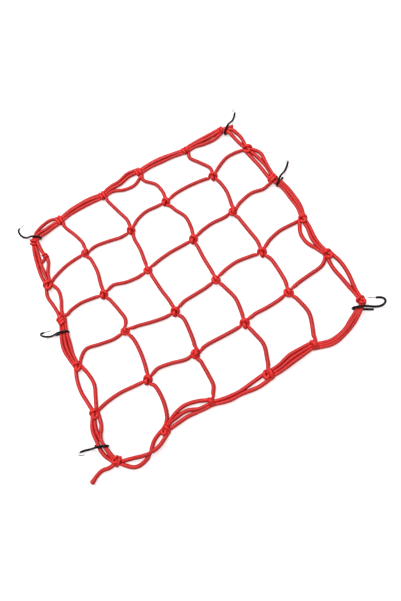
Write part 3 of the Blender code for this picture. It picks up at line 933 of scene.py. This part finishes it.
@dataclass
class SideTieMaker:
    """Winds the end of a cord round the cords of an outer side.

    low, high: height of a turn's lowest and highest point.  spacing: least and most distance
    between two turns.  usual_length: of a lobed knot that isn't stretched.  half_cross: half the
    length of crossed turns.  Points are given along the knot's axis, across it, and as a height.
    """

    low: float = 1.95
    high: float = 5.3
    spacing: tuple[float, float] = (3.3, 4.1)
    usual_length: float = 12.0
    half_cross: float = 2.7

    def frame_of(self, knot: Knot, from_place: Vector) -> tuple[Vector, Vector]:
        """Find the axis that a knot's turns run round.

        Args:
            knot: the knot.
            from_place: a point on the cord before it reaches the knot.

        Returns:
            The axis, and the way across it towards where the cord comes from.
        """
        axis = Vector((math.cos(math.radians(knot.angle)), math.sin(math.radians(knot.angle)), 0.0))
        across = Vector((-axis.y, axis.x, 0.0))
        if across.dot(from_place - knot.place) < 0:
            across = -across
        if knot.tie is not Tie.LOBED and axis.dot(from_place - knot.place) > 0:
            axis = -axis
        return axis, across

    def turns(self, knot: Knot, from_place: Vector, cords: CordMaker) -> list[Vector]:
        """Return the points of the turns, from the side where the cord arrives.

        Args:
            knot: the knot.
            from_place: a point on the cord before it reaches the knot.
            cords: says how cords lie.

        Returns:
            The points on the plan.
        """
        axis, across = self.frame_of(knot, from_place)
        reach = knot.across / 2 - cords.knotted
        if knot.tie is Tie.CROSSED:
            local = self.crossed(reach)
        elif knot.tie is Tie.LOBED:
            local = self.lobed(reach, knot.along / self.usual_length)
        else:
            local = self.wound(knot, reach, cords)
        return [cords.in_knot(knot.place + axis * along + across * aside, height)
                for along, aside, height in local]

    def wound(self, knot: Knot, reach: float, cords: CordMaker) -> Route:
        """Wind turns side by side.

        Args:
            knot: the knot.
            reach: how far the turns' centre gets across the axis.
            cords: says how thick cords are.

        Returns:
            The turns' points.
        """
        pitch = held((knot.along - 2 * cords.knotted) / max(knot.turns - 1, 1), *self.spacing)
        whole = 360.0 * knot.turns - 180.0
        length = pitch * whole / 360.0
        middle, swing = (self.low + self.high) / 2, (self.high - self.low) / 2
        local = []
        steps = int(whole / 30)
        for step in range(steps + 1):
            turned = whole * step / steps
            round_it = math.radians(turned)
            aside = fuller(math.cos(round_it), 0.75) * reach
            height = middle + fuller(math.sin(round_it), 0.85) * swing
            local.append((-length / 2 + length * turned / whole, aside, height))
        local.append((length / 2 - 0.6, -reach * 0.3, self.low + 0.4))
        return tuple(local)

    def lobed(self, reach: float, stretch: float) -> Route:
        """Lay one turn on top and a lobe behind it.

        Args:
            reach: how far the turn's centre gets across the axis.
            stretch: how much longer than usual the knot is.

        Returns:
            The points.
        """
        shares = (
            (0.6, 1.0, 2.6), (1.9, 0.8, 4.6), (2.5, 0.0, self.high + 0.6), (2.0, -0.8, 4.6),
            (0.6, -1.0, 2.6), (-0.8, -0.4, self.low), (-1.2, 0.4, self.low), (-2.0, 0.9, 3.4),
            (-3.4, 0.55, 4.8), (-4.6, 0.0, 4.6), (-3.6, -0.6, 4.8), (-1.4, -0.45, 4.9),
            (0.4, -0.1, 4.2), (1.6, 0.3 / reach, 3.0))
        return tuple((along * stretch, aside * reach, height) for along, aside, height in shares)

    def crossed(self, reach: float) -> Route:
        """Return the points of two turns that cross on top and reach so far across the axis."""
        shares = (
            (-1.0, 1.0, 2.4), (-0.6, 0.62, 4.4), (0.0, 0.0, self.high), (0.6, -0.62, 4.4),
            (1.0, -1.0, 2.6), (1.0, 0.0, self.low), (1.0, 1.0, 2.6), (0.6, 0.66, 4.9),
            (0.0, 0.0, self.high + 1.3), (-0.6, -0.66, 4.9), (-1.0, -1.0, 2.6),
            (-0.8, -0.2, self.low + 0.2))
        return tuple((along * self.half_cross, aside * reach, height) for along, aside, height in shares)


@dataclass
class MeshCords:
    """The eight cords that cross inside the net, each one piece from side to side.

    step: distance between the points on which the end of a knot is looked for.
    """

    cords: CordMaker
    knots: MeshKnotMaker
    ties: SideTieMaker
    step: float = 0.5

    def strand(self, first: Knot, last: Knot, values: Sequence[float], across: bool) -> list[Vector]:
        """Lay a cord between two inner knots.

        Args:
            first, last: the knots.
            values: where it lies at a quarter, half and three quarters of the way.
            across: True where it runs along X.

        Returns:
            Its points outside both knots.
        """
        start, end = first.place, last.place
        between = [between_knots(start, end, quarter / 4, value, across)
                   for quarter, value in enumerate(values, start=1)]
        curve = rounded_path([start, *between, end], self.step)
        outside = [p for p in curve if min((p - start).length, (p - end).length) > self.knots.leg]
        return [self.cords.on_ground(p.x, p.y) for p in (outside[0], *between, outside[-1])]

    def one_cord(self, track: Sequence[Knot], values: Sequence[Sequence[float]], across: bool) -> TubeShape:
        """Return one whole cord, wound round an outer side at both ends.

        Args:
            track: the knots that it goes through, the first and last on the outer sides.
            values: the three values of each strand between them.
            across: True where the cord runs along X.

        Returns:
            The cord's tube.
        """
        points: list[Vector] = []
        for index, strand_values in enumerate(values):
            strand = self.strand(track[index], track[index + 1], strand_values, across)
            if index == 0:
                points += reversed(self.ties.turns(track[0], strand[0], self.cords))
            else:
                points += self.knots.pass_through(track[index], not across, points[-1], strand[0], self.cords)
            points += strand
        points += self.ties.turns(track[-1], points[-1], self.cords)
        return self.cords.tied(points, track)

    def build(self, material: bpy.types.Material) -> None:
        """Build all eight cords."""
        for line, (across, down) in enumerate(zip(ACROSS, DOWN), start=1):
            for name, track, values in (("across", [KNOTS[(column, line)] for column in range(6)], across),
                                        ("down", [KNOTS[(line, row)] for row in range(6)], down)):
                cord = self.one_cord(track, values, name == "across")
                cord.piece(f"cord_{name}_{line}", material, "net", between=0.0)


# ------------------------------------------------------------------ outer sides
@dataclass
class OuterSides:
    """The doubled and trebled cords of the four sides, their corner ties and their loose ends.

    past: how far a side's cord runs past the middle of its knots.  hump_from: share of its way
    where a cord that crosses its neighbour starts to rise.  flare_from: share of a loose end's
    length where it starts to widen, and tail_flare: by how much the tail does.  coarse: distance
    between the points of these cords.  lit_share: share of the painted knot light that these cords
    get, which paints them a brighter red.
    """

    cords: CordMaker
    ties: SideTieMaker
    past: float = 2.6
    hump_from: float = 0.25
    flare_from: float = 0.8
    tail_flare: float = 0.55
    coarse: float = 3.0
    # Painted light: the outer sides get part of the brighter knot red.
    lit_share: float = 0.35

    def side(self, rows: Sequence[Sequence[Strand]], places: Sequence[Vector], across: bool) -> TubeShape:
        """Return the cords of one side.

        Args:
            rows: the cords of each mesh along the side.
            places: of the six knots along it.
            across: True where the side runs along X.

        Returns:
            All its cords.
        """
        shape = TubeShape()
        for first, last, strands in zip(places, places[1:], rows):
            paths = [self.strand_points(strand, first, last, across) for strand in strands]
            for path in paths:
                beside = [point for other in paths if other is not path for point in other]
                shape.add(self.cords.squeezed(path, beside))
        return shape

    def strand_points(self, strand: Strand, first: Vector, last: Vector, across: bool) -> list[Vector]:
        """Lay one cord of an outer side, which runs a little past the middle of both its knots.

        Args:
            strand: the cord.
            first, last: the places of its knots.
            across: True where it runs along X.

        Returns:
            Its points.
        """
        values = (strand.start, strand.first, strand.middle, strand.last, strand.end)
        points = []
        for quarter, value in enumerate(values):
            share = quarter / 4
            place = between_knots(first, last, share, value, across)
            rising = held((share - self.hump_from) / (1.0 - self.hump_from))
            hump = strand.over * max(0.0, math.sin(math.pi * rising))
            ride = strand.ride * math.sin(math.pi * share)
            points.append(self.cords.on_ground(place.x, place.y, max(hump, ride)))
        curve = rounded_path(points, self.coarse)
        lying = [self.cords.on_ground(p.x, p.y, p.z - self.cords.rest) for p in curve]
        lying[0] += (lying[0] - lying[1]).normalized() * self.past
        lying[-1] += (lying[-1] - lying[-2]).normalized() * self.past
        for end in (lying[0], lying[-1]):
            end.z = max(end.z, self.cords.rest)
        return lying

    def loose(self, flat: Sequence[tuple[float, float]], flare: float = 0.0) -> TubeShape:
        """Lay a short cord with two free ends.

        Args:
            flat: x and y of the points that it goes through.
            flare: how much wider its last end is.

        Returns:
            The cord.
        """
        def wider(share: float) -> float:
            """Return how much wider the cord is at a share of its length."""
            return flare * held((share - self.flare_from) / (1.0 - self.flare_from)) ** 1.5
        curve = rounded_path([Vector((x, y, 0.0)) for x, y in flat], self.coarse)
        points = [self.cords.on_ground(point.x, point.y, wider(index / (len(curve) - 1)))
                  for index, point in enumerate(curve)]
        return self.cords.tube(points, lambda point, share: self.cords.radius + wider(share))

    def wrap(self, knot: Knot) -> TubeShape:
        """Return a short cord wound round a knot from inside the net, with both its ends tucked in."""
        turns = self.ties.turns(knot, Vector((0.0, 0.0, 0.0)), self.cords)
        inside = Vector((knot.x, knot.y, self.cords.rest + self.cords.lift(knot.x, knot.y)))
        turns.insert(0, turns[0].lerp(inside, 0.6))
        return self.cords.plain(turns, self.cords.knotted)

    def build(self, material: bpy.types.Material) -> None:
        """Build the four sides, the corner ties and the loose ends."""
        top, bottom = ([KNOTS[(column, row)].place for column in range(6)] for row in (0, 5))
        left, right = ([KNOTS[(column, row)].place for row in range(6)] for column in (0, 5))
        right[0] = RIGHT_START
        for name, rows, places, across in (
                ("side_top", TOP, top, True), ("side_bottom", BOTTOM, bottom, True),
                ("side_left", LEFT, left, False), ("side_right", RIGHT, right, False)):
            self.side(rows, places, across).piece(name, material, "net", between=self.lit_share)
        ties = TubeShape()
        for knot in (KNOTS[(0, 0)], KNOTS[(5, 0)], KNOTS[(0, 5)], KNOTS[(5, 5)], TUCK_KNOT):
            ties.add(self.wrap(knot))
        ties.add(self.loose(CORNER_TIE))
        ties.add(self.loose(CORNER_TIE_BACK))
        ties.piece("corner_ties", material, "net")
        ends = TubeShape()
        ends.add(self.loose(TAIL, self.tail_flare))
        ends.add(self.loose(CUT_END))
        ends.add(self.loose(TUCKED_END))
        ends.piece("loose_ends", material, "net", between=self.lit_share)


# ------------------------------------------------------------------ hooks
@dataclass
class WireHook:
    """One hook, bent from a length of wire: eye, shank, bend and bare tip.

    It is made with the middle of its eye at the origin and its shank along X, then turned into
    place.  wire, bare: radii with and without the coating.  rest: height of the wire's centre on
    the ground.  eye, mouth: radii of the two big bends, and eye_back, mouth_at: how far behind and
    before the origin they start.  slope_from, slope, slope_bend: where and how steeply the shank
    drops, and the radius of its two small bends.  flare: how far the bare tip leans out at its end.
    hidden: degrees of bare wire inside the coating.  sides: flats round the wire.
    """

    place: HookPlace
    wire: float = 1.38
    bare: float = 0.8
    rest: float = 1.33
    eye: float = 3.6
    eye_back: float = 3.0
    slope_from: float = 2.6
    slope: float = 32.0
    slope_bend: float = 8.3
    mouth_at: float = 19.0
    mouth: float = 7.2
    flare: float = 0.6
    hidden: float = 10.0
    sides: int = 12

    def outward(self) -> Vector:
        """Return the way that the bend leans from the shank."""
        lean = math.radians(self.place.roll)
        return Vector((0.0, math.cos(lean), math.sin(lean)))

    def on_bend(self, degrees: float) -> tuple[Vector, Vector]:
        """Find a place on the big bend.

        Args:
            degrees: how far the wire is bent there.

        Returns:
            The place, and the way that the wire goes.
        """
        turned, lean_out, ahead = math.radians(degrees), self.outward(), Vector((1.0, 0.0, 0.0))
        foot = Vector((self.mouth_at, 0.0, self.rest))
        place = foot + (lean_out * (1 - math.cos(turned)) + ahead * math.sin(turned)) * self.mouth
        return place, ahead * math.cos(turned) + lean_out * math.sin(turned)

    def start_ring(self, name: str, centre: Vector, onward: Vector, radius: float) -> None:
        """Add a circle across the wire and enter edit mode with all of it selected.

        Args:
            name: of the piece.
            centre, radius: of the circle, in millimetres.
            onward: the way that the wire goes.
        """
        bpy.ops.object.select_all(action="DESELECT")
        turn = onward.to_track_quat("Z", "Y").to_euler()
        bpy.ops.mesh.primitive_circle_add(
            vertices=self.sides, radius=radius * MM, fill_type="NOTHING", location=centre * MM, rotation=turn)
        bpy.context.object.name = name
        bpy.ops.object.transform_apply(location=True, rotation=True, scale=True)
        bpy.ops.object.mode_set(mode="EDIT")
        bpy.ops.mesh.select_all(action="SELECT")

    def draw_out(self, by: Vector) -> None:
        """Extrude the selected ring along a vector."""
        bpy.ops.mesh.extrude_region_move(TRANSFORM_OT_translate={"value": by * MM})

    def resize(self, share: float) -> None:
        """Scale the selected ring about its middle."""
        bpy.ops.transform.resize(value=(share, share, share), center_override=self.ring_middle())

    def ring_middle(self) -> Vector:
        """Return the middle of the selected corners, in metres."""
        mesh = bpy.context.object
        mesh.update_from_editmode()
        chosen = [v.co for v in mesh.data.vertices if v.select]
        return sum(chosen, Vector()) / len(chosen)

    def bend(self, centre: Vector, axis: Vector, degrees: float, steps: int) -> None:
        """Spin the selected ring round an axis, by the right-hand rule."""
        bpy.ops.mesh.spin(steps=steps, angle=-math.radians(degrees), center=centre * MM, axis=axis)

    def big_bend(self, degrees: float) -> None:
        """Carry the selected ring on round the bend that makes the hook's mouth."""
        lean_out = self.outward()
        centre = Vector((self.mouth_at, 0.0, self.rest)) + lean_out * self.mouth
        self.bend(centre, Vector((1.0, 0.0, 0.0)).cross(lean_out), degrees, max(2, round(degrees / 12)))

    def close_end(self, onward: Vector, radius: float) -> None:
        """Round off the selected ring and fill it.

        Args:
            onward: the way out of the wire's end.
            radius: of the wire.
        """
        for out, share in ((0.30, 0.90), (0.28, 0.70), (0.17, 0.35)):
            self.draw_out(onward * radius * out)
            self.resize(share)
        bpy.ops.mesh.edge_face_add()

    def finish(self, backward: Vector, radius: float, material: bpy.types.Material) -> bpy.types.Object:
        """Close the ring that the wire began with, smooth it, and place and dress the piece.

        Args:
            backward: the way out of the end that the wire began with.
            radius: of the wire.
            material: its finish.

        Returns:
            The piece.
        """
        wire = bpy.context.object
        bpy.ops.mesh.select_all(action="DESELECT")
        bpy.ops.mesh.select_non_manifold()
        self.close_end(backward, radius)
        bpy.ops.mesh.select_all(action="SELECT")
        bpy.ops.mesh.remove_doubles(threshold=0.00001)
        bpy.ops.mesh.normals_make_consistent(inside=False)
        bpy.ops.object.mode_set(mode="OBJECT")
        rounder = wire.modifiers.new("rounder", "SUBSURF")
        rounder.levels = rounder.render_levels = 1
        bpy.ops.object.modifier_apply(modifier=rounder.name)
        bpy.ops.object.shade_smooth()
        wire.location = ((self.place.x - OUTLINE_CENTRE.x) * MM, (self.place.y - OUTLINE_CENTRE.y) * MM, 0.0)
        wire.rotation_euler = (0.0, 0.0, math.radians(self.place.heading))
        bpy.ops.object.transform_apply(location=True, rotation=True, scale=True)
        wire.data.materials.clear()
        wire.data.materials.append(material)
        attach(wire, "root")
        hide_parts(self.place.name)
        log.info("%s: %d faces", wire.name, len(wire.data.polygons))
        return wire

    def wind_eye(self, tail: Vector) -> None:
        """Draw the wire to the eye, straighten it there and wind it back over the cords.

        Args:
            tail: where the wire begins, beside the shank.
        """
        eye_foot = Vector((-self.eye_back, 0.0, self.rest))
        for share in (0.35, 0.35, 0.24, 0.06):
            self.draw_out((eye_foot - tail) * share)
        squint = math.atan2(self.place.aside, self.place.reach + self.eye_back)
        bpy.ops.transform.rotate(value=squint, orient_axis="Z", center_override=self.ring_middle())
        self.bend(eye_foot + Vector((0.0, 0.0, self.eye)), Vector((0.0, 1.0, 0.0)), 180, 12)

    def slope_down(self) -> None:
        """Draw the shank over the cords and let it slope down to the ground."""
        top, lean = self.rest + 2 * self.eye, math.radians(self.slope)
        self.draw_out(Vector((self.slope_from + self.eye_back, 0.0, 0.0)))
        straight = (2 * self.eye - 2 * self.slope_bend * (1 - math.cos(lean))) / math.sin(lean)
        foot_x = self.slope_from + 2 * self.slope_bend * math.sin(lean) + straight * math.cos(lean)
        level = Vector((0.0, 1.0, 0.0))
        self.bend(Vector((self.slope_from, 0.0, top - self.slope_bend)), level, self.slope, 4)
        self.draw_out(Vector((math.cos(lean), 0.0, -math.sin(lean))) * straight)
        self.bend(Vector((foot_x, 0.0, self.rest + self.slope_bend)), level, -self.slope, 4)
        self.draw_out(Vector((self.mouth_at - foot_x, 0.0, 0.0)))

    def bend_coated_wire(self, material: bpy.types.Material) -> bpy.types.Object:
        """Bend the coated wire, from its tail to where the coating stops on the big bend."""
        tail = Vector((self.place.reach, self.place.aside, self.rest))
        backward = (tail - Vector((-self.eye_back, 0.0, self.rest))).normalized()
        self.start_ring(self.place.name + "_coat", tail, -backward, self.wire)
        self.wind_eye(tail)
        self.slope_down()
        self.big_bend(self.place.coated)
        onward = self.on_bend(self.place.coated)[1]
        if self.place.past > 0:
            self.draw_out(onward * self.place.past)
        self.close_end(onward, self.wire)
        return self.finish(backward, self.wire, material)

    def draw_bare_tip(self, material: bpy.types.Material) -> bpy.types.Object:
        """Draw the bare end of the wire out of its coating and on to the tip."""
        start, onward = self.on_bend(self.place.coated - self.hidden)
        self.start_ring(self.place.name + "_tip", start, onward, self.bare)
        self.big_bend(self.place.bent - self.place.coated + self.hidden)
        ahead = self.on_bend(self.place.bent)[1]
        for share, lean_out in ((0.5, 0.0), (0.25, 0.35), (0.25, 0.65)):
            self.draw_out(ahead * self.place.tip * share + self.outward() * self.flare * lean_out)
        self.close_end(ahead, self.bare)
        return self.finish(-onward, self.bare, material)


# ------------------------------------------------------------------ studio
@dataclass
class Studio:
    """The floor, the lights and the camera.

    camera_place: in millimetres.  camera_turn: degrees that it is turned round X, Y and Z.  lens,
    sensor: focal length and width of the picture behind it, in millimetres.  floor_size: in
    metres.  floor_drop: how far the floor lies under the net, in millimetres.  sky: strength of
    the light from all round.  lamps: name, watts, width and place of each, in metres.
    """

    camera_place: tuple[float, float, float] = (36.57, -293.54, 533.92)
    camera_turn: tuple[float, float, float] = (20.072, 14.703, -28.987)
    lens: float = 31.15
    sensor: float = 36.0
    floor_size: float = 6.0
    floor_drop: float = 0.02
    sky: float = 0.32
    lamps: tuple[tuple[str, float, float, tuple[float, float, float]], ...] = (
        ("key", 26.0, 0.4, (0.0, 0.86, 1.66)), ("overhead", 13.0, 1.2, (0.1, -0.2, 1.7)))
    finish: FloorFinish = FloorFinish("pale_floor", (
        ("Roughness", 0.9), ("Specular IOR Level", 0.1), ("Emission Strength", 0.54)))

    def lay_floor(self) -> None:
        """Lay a plain floor just under the net."""
        bpy.ops.object.select_all(action="DESELECT")
        bpy.ops.mesh.primitive_plane_add(size=self.floor_size, location=(0.0, 0.0, -self.floor_drop * MM))
        floor = bpy.context.object
        floor.name = "floor"
        floor.data.materials.append(self.finish.material())
        floor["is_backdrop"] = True

    def light_up(self) -> None:
        """Fill the room with soft white light, and add a lamp behind the net and a wide one above it."""
        world = bpy.data.worlds.new("studio")
        world.use_nodes = True
        background = world.node_tree.nodes["Background"]
        background.inputs["Color"].default_value = (1.0, 1.0, 1.0, 1.0)
        background.inputs["Strength"].default_value = self.sky
        bpy.context.scene.world = world
        for name, watts, size, place in self.lamps:
            lamp = bpy.data.lights.new(name, "AREA")
            lamp.energy = watts
            lamp.size = size
            holder = bpy.data.objects.new(name, lamp)
            holder.location = place
            holder.rotation_euler = (-Vector(place)).to_track_quat("-Z", "Y").to_euler()
            bpy.context.scene.collection.objects.link(holder)

    def set_camera(self) -> None:
        """Put the camera where the picture was taken from."""
        camera = bpy.data.cameras.new("camera")
        camera.lens = self.lens
        camera.sensor_width = self.sensor
        camera.clip_start, camera.clip_end = 0.01, 20.0
        holder = bpy.data.objects.new("camera", camera)
        turn = Euler([math.radians(degrees) for degrees in self.camera_turn])
        holder.matrix_world = Matrix.LocRotScale(Vector(self.camera_place) * MM, turn, None)
        bpy.context.scene.collection.objects.link(holder)
        bpy.context.scene.camera = holder

    def build(self) -> None:
        """Build the floor, the lights and the camera."""
        self.lay_floor()
        self.light_up()
        self.set_camera()
        bpy.context.scene.view_settings.view_transform = "Standard"


def corners() -> list[list[float]]:
    """Return the lowest and highest corner of what is shown, as plain lists."""
    low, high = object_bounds()
    return [[float(value) for value in low], [float(value) for value in high]]


def main() -> None:
    """Build the net, its hooks and the studio."""
    logging.basicConfig(level=logging.INFO, format="%(name)s %(message)s")
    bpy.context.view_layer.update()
    braid = BraidFinish("red_braid", (("Specular IOR Level", 0.35),)).material()
    dipped = DippedFinish("black_dip", (("IOR", 1.22),)).material()
    steel = SteelFinish("bare_steel", (("Metallic", 1.0),)).material()
    cords, ties = CordMaker(), SideTieMaker()
    MeshCords(cords, MeshKnotMaker(), ties).build(braid)
    OuterSides(cords, ties).build(braid)
    for place in HOOK_PLACES:
        hook = WireHook(place)
        hook.bend_coated_wire(dipped)
        hook.draw_bare_tip(steel)
    Studio().build()


if __name__ == "__main__":
    main()
